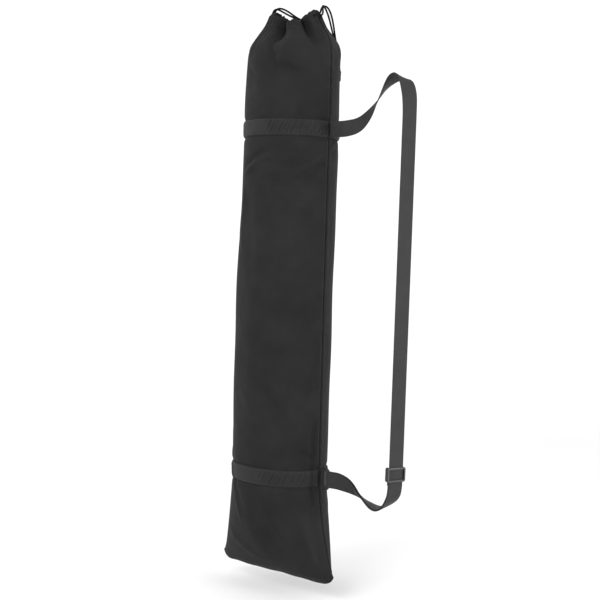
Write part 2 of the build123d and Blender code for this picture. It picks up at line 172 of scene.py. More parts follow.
def mesh_object(name: str, points: np.ndarray, faces: list | np.ndarray, uvs: np.ndarray | None = None,
                smooth: bool = True) -> bpy.types.Object:
    """Puts points and faces into a new object.

    Args:
        name: Name of the piece.
        points: One row for each vertex.
        faces: Vertex numbers of each face.
        uvs: One row for each face corner, in metres of surface, or None.
        smooth: Whether faces are shaded smooth.

    Returns:
        The new object, at the origin.
    """
    mesh = bpy.data.meshes.new(name)
    mesh.from_pydata(points.tolist(), [], [list(map(int, f)) for f in faces])
    if uvs is not None:
        layer = mesh.uv_layers.new(name="UVMap")
        layer.data.foreach_set("uv", np.asarray(uvs, np.float32).ravel())
    mesh.polygons.foreach_set("use_smooth", np.full(len(mesh.polygons), smooth))
    mesh.update()
    piece = bpy.data.objects.new(name, mesh)
    bpy.context.collection.objects.link(piece)
    return piece


def surface_object(name: str, grid: np.ndarray, uv: np.ndarray) -> bpy.types.Object:
    """A surface given as a grid of points with metres of cloth as its UV.

    Args:
        name: Name of the piece.
        grid: Points, rows by columns by three.
        uv: Metres across and along, rows by columns by two.

    Returns:
        The new object.
    """
    faces = grid_faces(*grid.shape[:2], False)
    return mesh_object(name, grid.reshape(-1, 3), faces, uv.reshape(-1, 2)[faces.ravel()])


def capped_object(name: str, grid: np.ndarray, uv: np.ndarray) -> bpy.types.Object:
    """Rows of closed outlines joined into one closed object with flat ends.

    Args:
        name: Name of the piece.
        grid: Points, one closed outline in each row.
        uv: Metres across and along, rows by columns by two.

    Returns:
        The new object, its faces outwards.
    """
    rows, columns = grid.shape[:2]
    sides = grid_faces(rows, columns, True)
    ends = [list(range(columns))[::-1], [(rows - 1) * columns + k for k in range(columns)]]
    corners = np.concatenate([sides.ravel(), *ends])
    piece = mesh_object(name, grid.reshape(-1, 3), list(sides) + ends, uv.reshape(-1, 2)[corners])
    outward(piece)
    return piece


def rounded_strip(width: float, thickness: float, corner_steps: int = 3, flat_steps: int = 10) -> np.ndarray:
    """Outline of a flat strip with rounded edges, anticlockwise.

    Formula: two straight faces joined at each edge by half an ellipse as thick as the strip.

    Args:
        width: Width across the strip.
        thickness: Thickness of the strip.
        corner_steps: Steps in a quarter of an edge.
        flat_steps: Steps along a face.

    Returns:
        Rows of distance across and distance off the middle.
    """
    half, edge = width / 2, thickness * 0.6
    turn = np.linspace(-np.pi / 2, np.pi / 2, 2 * corner_steps + 1)
    right = np.stack([half - edge + edge * np.cos(turn), thickness / 2 * np.sin(turn)], 1)
    flat = np.linspace(half - edge, -(half - edge), flat_steps + 1)[1:-1]
    top = np.stack([flat, np.full(len(flat), thickness / 2)], 1)
    outline = np.concatenate([right, top])
    return np.concatenate([outline, -outline])


def carry_profile(name: str, centres: np.ndarray, across: np.ndarray, normals: np.ndarray,
                  profile: np.ndarray, around: np.ndarray | None = None) -> bpy.types.Object:
    """Carries a closed outline along a path and closes both ends.

    Formula: point = centre + across * outline width + normal * outline height.

    Args:
        name: Name of the piece.
        centres: Path points, one row each.
        across: Direction across the piece at each path point.
        normals: Direction off the piece's face at each path point.
        profile: Outline rows, anticlockwise seen against the path; one outline, or one per point.
        around: UV distance at each outline point, or None for its distance across.

    Returns:
        The new closed object, UV in metres across and along.
    """
    outline = np.broadcast_to(profile, (len(centres),) + profile.shape[-2:])
    grid = (centres[:, None] + across[:, None] * outline[..., :1] + normals[:, None] * outline[..., 1:])
    u = outline[..., 0] if around is None else np.broadcast_to(around, grid.shape[:2])
    v = np.broadcast_to(arc_lengths(centres)[:, None], grid.shape[:2])
    return capped_object(name, grid, np.stack([u, v], -1))


def outward(piece: bpy.types.Object) -> None:
    """Turns all faces of a closed piece outwards."""
    work = bmesh.new()
    work.from_mesh(piece.data)
    bmesh.ops.recalc_face_normals(work, faces=work.faces)
    work.to_mesh(piece.data)
    work.free()


def path_frames(points: np.ndarray, start: tuple[float, float, float]) -> tuple[np.ndarray, np.ndarray]:
    """Two directions square to a path that don't spin along it.

    Formula: each step carries the first direction on and takes out its part along the path.

    Args:
        points: The path.
        start: A direction to begin from, not along the path.

    Returns:
        The two directions at each point.
    """
    along = unit(np.gradient(points, axis=0))
    first = np.zeros_like(points)
    carry = np.asarray(start, float)
    for i, direction in enumerate(along):
        carry = carry - direction * carry.dot(direction)
        carry = carry / np.linalg.norm(carry)
        first[i] = carry
    return first, np.cross(along, first)


def round_outline(radius: float, count: int) -> np.ndarray:
    """Outline of a circle, anticlockwise."""
    turn = np.linspace(0, 2 * np.pi, count, endpoint=False)
    return np.stack([radius * np.cos(turn), radius * np.sin(turn)], 1)


def tube_object(name: str, points: np.ndarray, radius: float | np.ndarray,
                count: int = 12) -> bpy.types.Object:
    """A round tube along a path, closed at both ends, UV in metres round and along.

    Args:
        name: Name of the piece.
        points: The path.
        radius: Radius, one for all or one for each point.
        count: Corners round the tube.

    Returns:
        The new object.
    """
    first, second = path_frames(points, (0.3, 0.2, 1.0))
    sizes = np.broadcast_to(np.asarray(radius, float), (len(points),))
    outline = round_outline(1.0, count)[None] * sizes[:, None, None]
    around = np.linspace(0, 2 * np.pi * float(sizes.max()), count, endpoint=False)
    return carry_profile(name, points, first, second, outline, around)


def merged(name: str, parts: list[bpy.types.Object]) -> bpy.types.Object:
    """Joins pieces into one object with a new name."""
    bpy.ops.object.select_all(action="DESELECT")
    for part in parts:
        part.select_set(True)
    bpy.context.view_layer.objects.active = parts[0]
    bpy.ops.object.join()
    parts[0].name = name
    parts[0].data.name = name
    return parts[0]


def stitches(name: str, places: np.ndarray, along: np.ndarray, normals: np.ndarray,
             length: float, radius: float) -> bpy.types.Object:
    """Short raised stitches, each a bead of thread with few faces.

    Formula: a stitch is rings of five points whose radius follows half an ellipse along it.

    Args:
        name: Name of the piece.
        places: Middle of each stitch.
        along: Direction of each stitch.
        normals: Direction off the cloth at each stitch.
        length: Length of a stitch.
        radius: Radius of the thread.

    Returns:
        The new object.
    """
    sides, rings = 5, 4
    share = np.linspace(-1, 1, rings)
    swell = radius * np.sqrt(np.maximum(1 - (share * 0.93) ** 2, 0))
    turn = np.linspace(0, 2 * np.pi, sides, endpoint=False)
    along, normals = unit(along), unit(normals)
    side = np.cross(along, normals)
    grid = (places[:, None, None] + along[:, None, None] * (share * length / 2)[None, :, None, None]
            + normals[:, None, None] * (swell[:, None] * np.cos(turn))[None, ..., None]
            + side[:, None, None] * (swell[:, None] * np.sin(turn))[None, ..., None])
    one = grid_faces(rings, sides, True)
    faces = [f for k in range(len(places)) for f in (one + k * rings * sides)]
    for k in range(len(places)):
        base = k * rings * sides
        faces.append(list(range(base, base + sides))[::-1])
        faces.append([base + (rings - 1) * sides + s for s in range(sides)])
    piece = mesh_object(name, grid.reshape(-1, 3), faces)
    outward(piece)
    return piece


class Seam:
    """Rows of stitches that become one piece of thread."""

    def __init__(self) -> None:
        """Starts with no rows."""
        self.rows: list[tuple[np.ndarray, np.ndarray, np.ndarray]] = []

    def add(self, places: np.ndarray, normals: np.ndarray, along: np.ndarray | None = None) -> None:
        """Adds a row, whose stitches follow one another unless their direction is given."""
        self.rows.append((places, np.gradient(places, axis=0) if along is None else along, normals))

    def piece(self, name: str, length: float, radius: float) -> bpy.types.Object:
        """All the rows as one object, with stitches of a given length and thread radius."""
        return stitches(name, *(np.concatenate(part) for part in zip(*self.rows)), length, radius)


# ---------------------------------------------------------------------------
# Finishes
# ---------------------------------------------------------------------------


class Shader:
    """A material's node tree with short ways to add and join nodes."""

    def __init__(self, name: str) -> None:
        """Starts an empty material with one surface shader."""
        self.material = bpy.data.materials.new(name)
        self.material.use_nodes = True
        self.tree = self.material.node_tree
        self.surface = next(n for n in self.tree.nodes if n.type == "BSDF_PRINCIPLED")

    def add(self, kind: str, **settings: object) -> bpy.types.Node:
        """Adds a node and sets its own properties."""
        node = self.tree.nodes.new(kind)
        for key, value in settings.items():
            setattr(node, key, value)
        return node

    def join(self, source: bpy.types.NodeSocket, target: bpy.types.NodeSocket) -> None:
        """Links one socket to another."""
        self.tree.links.new(source, target)

    def maths(self, operation: str, *values: object) -> bpy.types.NodeSocket:
        """A Math node fed with sockets or numbers."""
        node = self.add("ShaderNodeMath", operation=operation)
        for place, value in enumerate(values):
            if isinstance(value, bpy.types.NodeSocket):
                self.join(value, node.inputs[place])
            else:
                node.inputs[place].default_value = value
        return node.outputs[0]

    def surface_axes(self) -> tuple[bpy.types.NodeSocket, bpy.types.NodeSocket]:
        """The two UV distances of the piece, in metres."""
        coordinate = self.add("ShaderNodeTexCoord")
        split = self.add("ShaderNodeSeparateXYZ")
        self.join(coordinate.outputs["UV"], split.inputs[0])
        return split.outputs[0], split.outputs[1]

    def object_axes(self, axes: tuple[int, int]) -> tuple[bpy.types.NodeSocket, bpy.types.NodeSocket]:
        """Two axes of the object's own space, in metres: across and along the piece."""
        coordinate = self.add("ShaderNodeTexCoord")
        split = self.add("ShaderNodeSeparateXYZ")
        self.join(coordinate.outputs["Object"], split.inputs[0])
        return split.outputs[axes[0]], split.outputs[axes[1]]

    def noise(self, size: float, detail: float = 3.0) -> bpy.types.NodeSocket:
        """Soft noise with patches of about a given size in metres, in the object's own space."""
        coordinate = self.add("ShaderNodeTexCoord")
        node = self.add("ShaderNodeTexNoise")
        node.inputs["Scale"].default_value = 1.0 / size
        node.inputs["Detail"].default_value = detail
        self.join(coordinate.outputs["Object"], node.inputs["Vector"])
        return node.outputs["Fac"]

    def blended_colour(self, share: bpy.types.NodeSocket, dark: tuple, light: tuple) -> None:
        """Feeds the surface a colour between dark and light."""
        ramp = self.add("ShaderNodeValToRGB")
        ramp.color_ramp.elements[0].color = (*dark, 1)
        ramp.color_ramp.elements[1].color = (*light, 1)
        ramp.color_ramp.elements[0].position, ramp.color_ramp.elements[1].position = 0.3, 0.7
        self.join(share, ramp.inputs[0])
        self.join(ramp.outputs[0], self.surface.inputs["Base Color"])

    def blended_roughness(self, share: bpy.types.NodeSocket, low: float, high: float) -> None:
        """Feeds the surface a roughness between two values."""
        node = self.add("ShaderNodeMapRange")
        node.inputs["To Min"].default_value, node.inputs["To Max"].default_value = low, high
        self.join(share, node.inputs["Value"])
        self.join(node.outputs[0], self.surface.inputs["Roughness"])

    def bump(self, height: bpy.types.NodeSocket, distance: float, strength: float = 1.0) -> None:
        """Feeds the surface a bump, on top of any bump it already has."""
        node = self.add("ShaderNodeBump")
        node.inputs["Distance"].default_value = distance
        node.inputs["Strength"].default_value = strength
        self.join(height, node.inputs["Height"])
        target = self.surface.inputs["Normal"]
        if target.is_linked:
            self.join(target.links[0].from_socket, node.inputs["Normal"])
        self.join(node.outputs[0], target)


@dataclass(frozen=True)
class ClothFinish:
    """Close plain-woven nylon: fine threads over and under, faint slubs and a soft sheen."""

    name: str = "tube_cloth"
    dark: tuple = (0.0135, 0.0135, 0.0138)
    light: tuple = (0.0185, 0.0185, 0.0190)
    thread_pitch: float = 0.55 * MM
    roughness: tuple = (0.62, 0.78)

    def material(self) -> bpy.types.Material:
        """The woven cloth: sine threads crossing each other, mottled colour and roughness."""
        shader = Shader(self.name)
        across, along = shader.surface_axes()
        turns = 2 * np.pi / (2 * self.thread_pitch)
        warp = shader.maths("SINE", shader.maths("MULTIPLY", across, turns))
        weft = shader.maths("SINE", shader.maths("MULTIPLY", along, turns))
        shader.bump(shader.maths("MULTIPLY", warp, weft), 0.06 * MM, 0.5)
        shader.bump(shader.noise(9 * MM, 4.0), 0.5 * MM, 0.45)
        patches = shader.noise(42 * MM, 5.0)
        shader.blended_colour(patches, self.dark, self.light)
        shader.blended_roughness(shader.noise(14 * MM, 4.0), *self.roughness)
        shader.surface.inputs["Sheen Weight"].default_value = 0.01
        shader.surface.inputs["Sheen Roughness"].default_value = 0.5
        shader.surface.inputs["Specular IOR Level"].default_value = 0.07
        return shader.material


class WebbingLay(Enum):
    """Where a webbing's across and along come from: its UV, or two axes of the object's own space."""

    SURFACE = (-1, -1)
    LEVEL = (2, 0)
    UPRIGHT = (0, 2)


@dataclass(frozen=True)
class WebbingFinish:
    """Ribbed nylon webbing: weft ribs across it, stepped into narrow columns."""

    name: str = "webbing"
    dark: tuple = (0.0190, 0.0190, 0.0195)
    light: tuple = (0.0340, 0.0340, 0.0348)
    lay: WebbingLay = WebbingLay.SURFACE
    rib_pitch: float = 1.5 * MM
    column: float = 3.1 * MM
    roughness: tuple = (0.50, 0.68)

    def material(self) -> bpy.types.Material:
        """The ribs: a rounded wave along the webbing, shifted in a zigzag from column to column, with painted
        shade in their grooves.
        """
        shader = Shader(self.name)
        by_surface = self.lay is WebbingLay.SURFACE
        across, along = shader.surface_axes() if by_surface else shader.object_axes(self.lay.value)
        zigzag = shader.maths("PINGPONG", across, self.column)
        shifted = shader.maths("ADD", along, shader.maths("MULTIPLY", zigzag, 0.42))
        wave = shader.maths("SINE", shader.maths("MULTIPLY", shifted, np.pi / self.rib_pitch))
        ribs = shader.maths("ABSOLUTE", wave)
        columns = shader.maths("ABSOLUTE", shader.maths(
            "SINE", shader.maths("MULTIPLY", across, np.pi / self.column)))
        height = shader.maths("MULTIPLY", ribs, shader.maths("POWER", columns, 0.25))
        shader.bump(height, 0.22 * MM, 0.9)
        shader.bump(shader.noise(5 * MM, 3.0), 0.2 * MM, 0.35)
        # Colour: painted shade, darker in the grooves between ribs and columns and lighter on their crowns,
        # plus random mottling from noise
        painted_rib_shade_and_mottle = shader.maths("ADD", shader.maths("MULTIPLY", height, 0.55),
                            shader.maths("MULTIPLY", shader.noise(16 * MM, 3.0), 0.45))
        shader.blended_colour(painted_rib_shade_and_mottle, self.dark, self.light)
        shader.blended_roughness(shader.noise(8 * MM), *self.roughness)
        shader.surface.inputs["Sheen Weight"].default_value = 0.02
        shader.surface.inputs["Specular IOR Level"].default_value = 0.14
        return shader.material


@dataclass(frozen=True)
class CordFinish:
    """Braided cord sheath: two families of strands that wind round it in opposite directions."""

    name: str = "drawstring"
    dark: tuple = (0.0035, 0.0035, 0.0037)
    light: tuple = (0.0085, 0.0085, 0.0088)
    pitch: float = 1.15 * MM

    def material(self) -> bpy.types.Material:
        """The braid: the product of two slanting waves, which also darkens the colour in its gaps as painted
        shade.
        """
        shader = Shader(self.name)
        around, along = shader.surface_axes()
        turns = 2 * np.pi / self.pitch
        left = shader.maths("SINE", shader.maths("MULTIPLY", shader.maths("ADD", around, along), turns))
        right = shader.maths("SINE", shader.maths("MULTIPLY", shader.maths("SUBTRACT", around, along), turns))
        height = shader.maths("MULTIPLY", left, right)
        shader.bump(height, 0.14 * MM, 0.5)
        # Colour follows the braid's height: painted shade in the gaps between strands, lighter on their
        # crowns
        shader.blended_colour(shader.maths("MULTIPLY_ADD", height, 0.3, 0.5), self.dark, self.light)
        shader.blended_roughness(shader.noise(4 * MM), 0.62, 0.78)
        shader.surface.inputs["Specular IOR Level"].default_value = 0.08
        return shader.material


@dataclass(frozen=True)
class ThreadFinish:
    """Twisted sewing thread, a touch brighter than the cloth."""

    name: str = "thread"
    dark: tuple = (0.010, 0.010, 0.0105)
    light: tuple = (0.030, 0.030, 0.031)

    def material(self) -> bpy.types.Material:
        """Fine noise on colour, roughness and height."""
        shader = Shader(self.name)
        grain = shader.noise(0.6 * MM, 2.0)
        shader.bump(grain, 0.08 * MM, 0.7)
        shader.blended_colour(grain, self.dark, self.light)
        shader.blended_roughness(grain, 0.38, 0.55)
        return shader.material


@dataclass(frozen=True)
class PlasticFinish:
    """Moulded black plastic with a fine orange-peel grain and uneven gloss."""

    name: str = "buckle_plastic"
    dark: tuple = (0.009, 0.009, 0.0095)
    light: tuple = (0.019, 0.019, 0.020)

    def material(self) -> bpy.types.Material:
        """Fine and coarse grain, on the object's own coordinates."""
        shader = Shader(self.name)
        grain = shader.noise(0.9 * MM, 3.0)
        shader.bump(grain, 0.05 * MM, 0.6)
        shader.blended_colour(shader.noise(6 * MM, 4.0), self.dark, self.light)
        shader.blended_roughness(grain, 0.26, 0.42)
        shader.surface.inputs["Specular IOR Level"].default_value = 0.5
        return shader.material


@dataclass(frozen=True)
class BackdropFinish:
    """Pale matte paint of the studio floor."""

    name: str = "studio_floor"
    shade: tuple = (0.86, 0.86, 0.86)

    def material(self) -> bpy.types.Material:
        """A faint unevenness on a pale colour."""
        shader = Shader(self.name)
        shader.blended_colour(shader.noise(0.8, 2.0), tuple(0.99 * c for c in self.shade), self.shade)
        shader.surface.inputs["Roughness"].default_value = 0.9
        return shader.material


BAND_DARK, BAND_LIGHT = (0.0115, 0.0115, 0.0118), (0.0225, 0.0225, 0.0230)


@dataclass
class Wardrobe:
    """One material of each finish, shared by the pieces."""

    cloth: bpy.types.Material = field(default_factory=lambda: ClothFinish().material())
    webbing: bpy.types.Material = field(default_factory=lambda: WebbingFinish().material())
    band: bpy.types.Material = field(default_factory=lambda: WebbingFinish(
        "band_webbing", rib_pitch=1.3 * MM, column=2.5 * MM, dark=BAND_DARK, light=BAND_LIGHT).material())
    tab: bpy.types.Material = field(default_factory=lambda: WebbingFinish(
        "tab_webbing", rib_pitch=1.3 * MM, column=2.5 * MM, dark=BAND_DARK, light=BAND_LIGHT,
        lay=WebbingLay.LEVEL).material())
    fold: bpy.types.Material = field(default_factory=lambda: WebbingFinish(
        "folded_webbing", lay=WebbingLay.UPRIGHT).material())
    tape: bpy.types.Material = field(default_factory=lambda: WebbingFinish(
        "seam_tape", rib_pitch=0.9 * MM, column=1.8 * MM,
        dark=(0.010, 0.010, 0.0105), light=(0.018, 0.018, 0.0185)).material())
    cord: bpy.types.Material = field(default_factory=lambda: CordFinish().material())
    thread: bpy.types.Material = field(default_factory=lambda: ThreadFinish().material())
    plastic: bpy.types.Material = field(default_factory=lambda: PlasticFinish().material())


def dress(piece: bpy.types.Object, material: bpy.types.Material, body: str,
          replaced: tuple[str, ...] = ()) -> bpy.types.Object:
    """Gives a piece its material and body, and hides the CAD nodes that it stands for.

    Args:
        piece: The finished piece.
        material: Its material.
        body: The CAD body that it moves with.
        replaced: CAD nodes that it stands for.

    Returns:
        The same piece.
    """
    piece.data.materials.clear()
    piece.data.materials.append(material)
    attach(piece, body)
    if replaced:
        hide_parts(*replaced)
    log.info("%s rides on %s and stands for %s", piece.name, body, ", ".join(replaced) or "nothing")
    return piece


# ---------------------------------------------------------------------------
# The tube of cloth
# ---------------------------------------------------------------------------


class FoldKind(Enum):
    """How a fold's height falls off to its sides."""

    SOFT = "soft"
    CREASE = "crease"


@dataclass(frozen=True)
class Fold:
    """One fold in the cloth, along a line on the tube: angles in degrees, the rest in millimetres."""

    start: tuple[float, float]
    end: tuple[float, float]
    width: float
    height: float
    kind: FoldKind = FoldKind.SOFT

    def rise(self, angle: np.ndarray, height: np.ndarray) -> np.ndarray:
        """Height of the fold over the tube's plain surface.

        Formula: distance from the fold's line on the unrolled tube, through a bell curve, or
        through a sharper curve with a long foot for a crease.

        Args:
            angle: Angles round the tube in radians.
            height: Heights in metres.

        Returns:
            Rise in metres, like angle.
        """
        reach = TubeCloth.ROLL_RADIUS
        ends = [np.array([np.radians(a) * reach, z * MM]) for a, z in (self.start, self.end)]
        line = ends[1] - ends[0]
        turns = np.round((angle * reach - (ends[0][0] + ends[1][0]) / 2) / (2 * np.pi * reach))
        x = angle * reach - turns * 2 * np.pi * reach - ends[0][0]
        y = height - ends[0][1]
        share = np.clip((x * line[0] + y * line[1]) / line.dot(line), 0, 1)
        distance = np.hypot(x - share * line[0], y - share * line[1]) / (self.width * MM)
        fade = 0.45 + 0.55 * np.sin(np.pi * np.clip(share, 0.02, 0.98)) ** 0.6
        if self.kind is FoldKind.CREASE:
            return self.height * MM * fade * np.exp(-np.sqrt(distance**2 + 0.04) + 0.2)
        return self.height * MM * fade * np.exp(-distance**2)


FRONT_FOLDS = [
    # Gathers under the mouth: two deep hollows with a full tongue of cloth between them
    Fold((-94, -6), (-80, -52), 9.5, -24.0), Fold((-36, -12), (-24, -56), 10.0, -22.0),
    Fold((-59, -22), (-62, -84), 12.0, 6.0), Fold((-8, -14), (4, -60), 8.0, 2.5),
    Fold((-112, -20), (-122, -80), 8.0, 3.0), Fold((-133, -16), (-140, -66), 6.0, -3.5),
    Fold((-154, -16), (-156, -60), 6.0, 2.5), Fold((-86, -56), (-70, -106), 6.0, -4.0),
    Fold((-70, -101), (-37, -109), 5.0, -2.8), Fold((-66, -92), (-42, -98), 6.0, 1.6),
    Fold((-22, -62), (-14, -120), 9.0, -2.4), Fold((-116, -84), (-93, -99), 5.0, 2.0),
    Fold((-124, -96), (-102, -112), 4.5, -1.8), Fold((-40, -118), (-36, -170), 12.0, 1.8),
    Fold((-98, -112), (-92, -172), 12.0, 1.6),
    # Wrinkles drawn from the upper band
    Fold((19, -209), (-58, -274), 7.5, 4.4), Fold((14, -219), (-50, -286), 7.5, -3.4),
    Fold((-98, -244), (-58, -274), 6.0, 4.0), Fold((-119, -264), (-78, -239), 5.0, 3.4),
    Fold((-118, -252), (-84, -230), 4.5, -3.0), Fold((-28, -228), (-52, -254), 6.0, -3.2),
    Fold((-6, -218), (-4, -330), 7.0, -1.8), Fold((-122, -282), (-122, -372), 6.0, 2.4),
    Fold((-108, -300), (-100, -420), 11.0, -1.8), Fold((-30, -290), (-62, -352), 10.0, 1.8),
    # Long slack down the middle
    Fold((-98, -400), (-96, -680), 15.0, 1.8), Fold((-38, -320), (-36, -660), 17.0, -1.8),
    Fold((-66, -430), (-24, -462), 12.0, 1.4), Fold((-92, -520), (-44, -560), 12.0, -1.3),
    Fold((-50, -600), (-12, -634), 9.0, 1.6), Fold((-112, -606), (-74, -650), 9.0, 1.4),
    Fold((-14, -420), (-10, -600), 7.0, -1.6),
    # Pulled cloth round the lower band and the flat bottom
    Fold((-10, -650), (-12, -775), 5.0, -4.2), Fold((-30, -694), (-14, -704), 4.0, -2.6),
    Fold((-28, -686), (-12, -694), 4.0, 1.4),
    Fold((-144, -704), (-106, -810), 2.4, 2.2, FoldKind.CREASE), Fold((-136, -724), (-98, -800), 6.0, -1.2),
    Fold((-68, -794), (-50, -846), 9.0, 2.6), Fold((-80, -790), (-64, -842), 8.0, -1.4),
    Fold((-136, -832), (-92, -874), 7.0, 1.6), Fold((-12, -778), (-20, -858), 8.0, -3.2),
    Fold((-34, -776), (-28, -860), 9.0, 1.8), Fold((-100, -772), (-84, -868), 12.0, 2.0),
]

SIDE_FOLDS = [Fold((-146, -360), (-146, -670), 40.0, 5.0), Fold((-60, -260), (-56, -330), 22.0, 1.5)]

BACK_FOLDS = [
    Fold((62, -12), (70, -62), 11.0, -9.0), Fold((120, -12), (112, -62), 11.0, -9.0),
    Fold((90, -20), (92, -94), 12.0, 4.0), Fold((34, -16), (32, -70), 8.0, 3.0),
    Fold((150, -16), (150, -70), 7.0, 3.0), Fold((76, -70), (82, -130), 8.0, -2.6),
    Fold((104, -76), (100, -150), 8.0, 2.2), Fold((150, -212), (92, -276), 7.0, 3.0),
    Fold((36, -216), (92, -280), 7.0, -2.4), Fold((70, -330), (76, -640), 16.0, 1.8),
    Fold((120, -340), (116, -650), 16.0, -1.8), Fold((60, -450), (110, -480), 12.0, 1.4),
    Fold((150, -640), (120, -706), 7.0, 2.4), Fold((44, -780), (66, -856), 9.0, 3.2),
    Fold((132, -780), (108, -860), 9.0, 3.0), Fold((90, -770), (90, -850), 12.0, -2.2),
]


@dataclass
class TubeCloth:
    """The cloth tube: a round that spreads to a flat bottom seam and gathers into the mouth."""

    ROLL_RADIUS = 75 * MM
    profile_heights: tuple = (-900, -893, -882, -866, -846, -822, -796, -770, -747, -722, -218, -168, -110,
                              -88, -72, -60, -51, -43, -35, -27, -20, -12, -5, 0)
    half_widths: tuple = (117.5, 115.6, 111.8, 106.6, 100.6, 94.2, 88.6, 84.2, 81.6, 81, 77, 77, 76,
                          75.5, 75, 73.2, 70, 65.4, 60, 54.6, 50.4, 46.6, 43.6, 41.5)
    half_depths: tuple = (1.6, 12.5, 25.5, 39.5, 51, 59.5, 64.4, 66.8, 67.5, 67.5, 72.5, 72.5, 71.5,
                          71, 70.2, 68, 64, 58, 51.5, 45.5, 41.5, 39, 37.6, 36.6)
    # Drop of the mouth's edge at each angle round it, the right ear at 0 and the left at -180
    rim_angles: tuple = (-180, -160, -140, -118, -104, -94, -86, -78, -69, -60, -52, -46, -36, -26, -12, 0,
                         20, 45, 90, 135, 160, 180)
    rim_drops: tuple = (-1, -5, -11.5, -14, -15, -18, -23.5, -27.5, -26, -23, -21.5, -23.5, -20.5, -14,
                        -8, -4, -7, -13, -18, -13, -5, -1)
    hem: float = 18 * MM
    hem_depth: float = 6.4 * MM
    thickness: float = 1.0 * MM
    corner_round: float = 19 * MM
    ruffle: float = 0.7 * MM
    bottom_wave: float = 0.8 * MM
    gather: float = 1.3 * MM
    fine_gather: float = 0.7 * MM
    band_dent: float = 1.7 * MM
    slack_wave: float = 0.7 * MM
    seam_swell: float = 0.9 * MM
    seam_pucker: float = 0.35 * MM
    seam_groove: float = 1.1 * MM
    # Samples round and up a panel, and round a hem sleeve
    panel_columns: int = 141
    panel_rows: int = 331
    hem_columns: int = 181
    # Half the opening in the hem at each ear where the cords come out, in degrees
    ear_gap: float = 3.6
    stitch_pitch: float = 3.4 * MM
    stitch_length: float = 2.3 * MM
    stitch_radius: float = 0.32 * MM

    def rim(self, angle: np.ndarray) -> np.ndarray:
        """Height of the mouth's edge at each angle, in metres, with its small ruffles."""
        wrapped = (angle + np.pi) % (2 * np.pi) - np.pi
        ruffle = (np.sin(37 * wrapped + 0.8) + 0.6 * np.sin(59 * wrapped + 2.0)) * self.ruffle
        drop = hermite(wrapped, np.radians(self.rim_angles), np.array(self.rim_drops) * MM)
        return drop + ruffle - self.ruffle

    def dip(self, angle: np.ndarray, level: np.ndarray) -> np.ndarray:
        """How far the mouth's dipping edge moves a level: nothing at the upper band, all at the edge."""
        share = np.clip((level - UPPER_BAND_Z) / -UPPER_BAND_Z, 0, 1.1)
        return self.rim(angle) * share**2

    def folds(self, angle: np.ndarray, height: np.ndarray) -> np.ndarray:
        """Sum of all folds, gathers and seam puckers over the plain tube, in metres."""
        rise = np.zeros(np.broadcast(angle, height).shape)
        for fold in FRONT_FOLDS + SIDE_FOLDS + BACK_FOLDS:
            rise += fold.rise(angle, height)
        wrapped = (angle + np.pi) % (2 * np.pi) - np.pi
        right, left = np.abs(wrapped), np.pi - np.abs(wrapped)
        seam = np.minimum(right, left) * self.ROLL_RADIUS
        quiet = smooth_step(seam, 2 * MM, 14 * MM)
        rise *= quiet
        # Tight little gathers drawn up by the cords, deepest at the edge
        near = smooth_step(height, -62 * MM, -8 * MM)
        gather = (self.gather * np.sin(31 * angle + 1.3 * np.sin(3 * angle))
                  + self.fine_gather * np.sin(47 * angle + 0.6))
        rise += near * gather * (0.45 + 0.55 * np.abs(np.cos(angle)))
        # Band edges press the cloth in
        for middle in (UPPER_BAND_Z, LOWER_BAND_Z):
            rise -= self.band_dent * np.exp(-((np.abs(height - middle) - 14.0 * MM) / (4.0 * MM)) ** 2)
        # Slow waviness and the puckers of the side seams
        wave = (np.sin(23 * height + 3 * angle) + np.sin(41 * height - 5 * angle + 1.0)) / 2
        rise += quiet * self.slack_wave * wave
        pucker = np.sin(2 * np.pi * height / (17 * MM)) + 0.6 * np.sin(2 * np.pi * height / (11 * MM) + 1)
        rise += np.exp(-((seam - 5 * MM) / (4 * MM)) ** 2) * (self.seam_swell + self.seam_pucker * pucker)
        rise -= np.exp(-(seam / (1.3 * MM)) ** 2) * self.seam_groove
        # All of it fades out into the flat bottom seam
        return rise * (0.12 + 0.88 * smooth_step(height, -0.899, -0.872))

    def points(self, angle: np.ndarray, level: np.ndarray, lift: float | np.ndarray = 0.0) -> np.ndarray:
        """Points of the cloth.

        Formula: an ellipse whose half width and half depth follow the height, moved out along the
        ellipse's own normal by the folds and the lift. Above the upper band the heights are
        drawn down by the mouth's dipping edge, more and more towards the edge. The bottom seam
        turns up at its two corners and waves a little.

        Args:
            angle: Angles round the tube in radians.
            level: Heights before the dip is taken off, in metres.
            lift: How far off the cloth the points are, in metres.

        Returns:
            Points, with three columns added as a last axis.
        """
        angle, level = np.broadcast_arrays(angle, level)
        marks = np.array(self.profile_heights) * MM
        wide = hermite(level, marks, np.array(self.half_widths) * MM)
        deep = hermite(level, marks, np.array(self.half_depths) * MM)
        height = level + self.dip(angle, level)
        normal = unit(np.stack([np.cos(angle) * deep, np.sin(angle) * wide], -1))
        off = (self.folds(angle, height) + lift)[..., None] * normal
        flat = wide * np.cos(angle)
        edge = np.clip((np.abs(flat) - (HALF_BOTTOM - self.corner_round)) / self.corner_round, 0, 1)
        bottom = 1 - smooth_step(level, BOTTOM_Z, BOTTOM_Z + 2.2 * self.corner_round)
        corner = self.corner_round * (1 - np.sqrt(1 - (edge * 0.98) ** 2)) * 0.9
        wave = self.bottom_wave * (1 + np.sin(55 * flat + 0.7) * 0.6 + np.sin(131 * flat) * 0.4)
        height = height + bottom * corner + bottom * wave
        return np.stack([flat + off[..., 0], deep * np.sin(angle) + off[..., 1], height], -1)

    def level_at(self, angle: np.ndarray, height: float | np.ndarray) -> np.ndarray:
        """Level whose finished height is a given height, by a few fixed-point steps."""
        angle, target = np.broadcast_arrays(angle, height)
        level = target.astype(float).copy()
        for _ in range(25):
            level = 0.4 * level + 0.6 * (target - self.dip(angle, level))
        return level

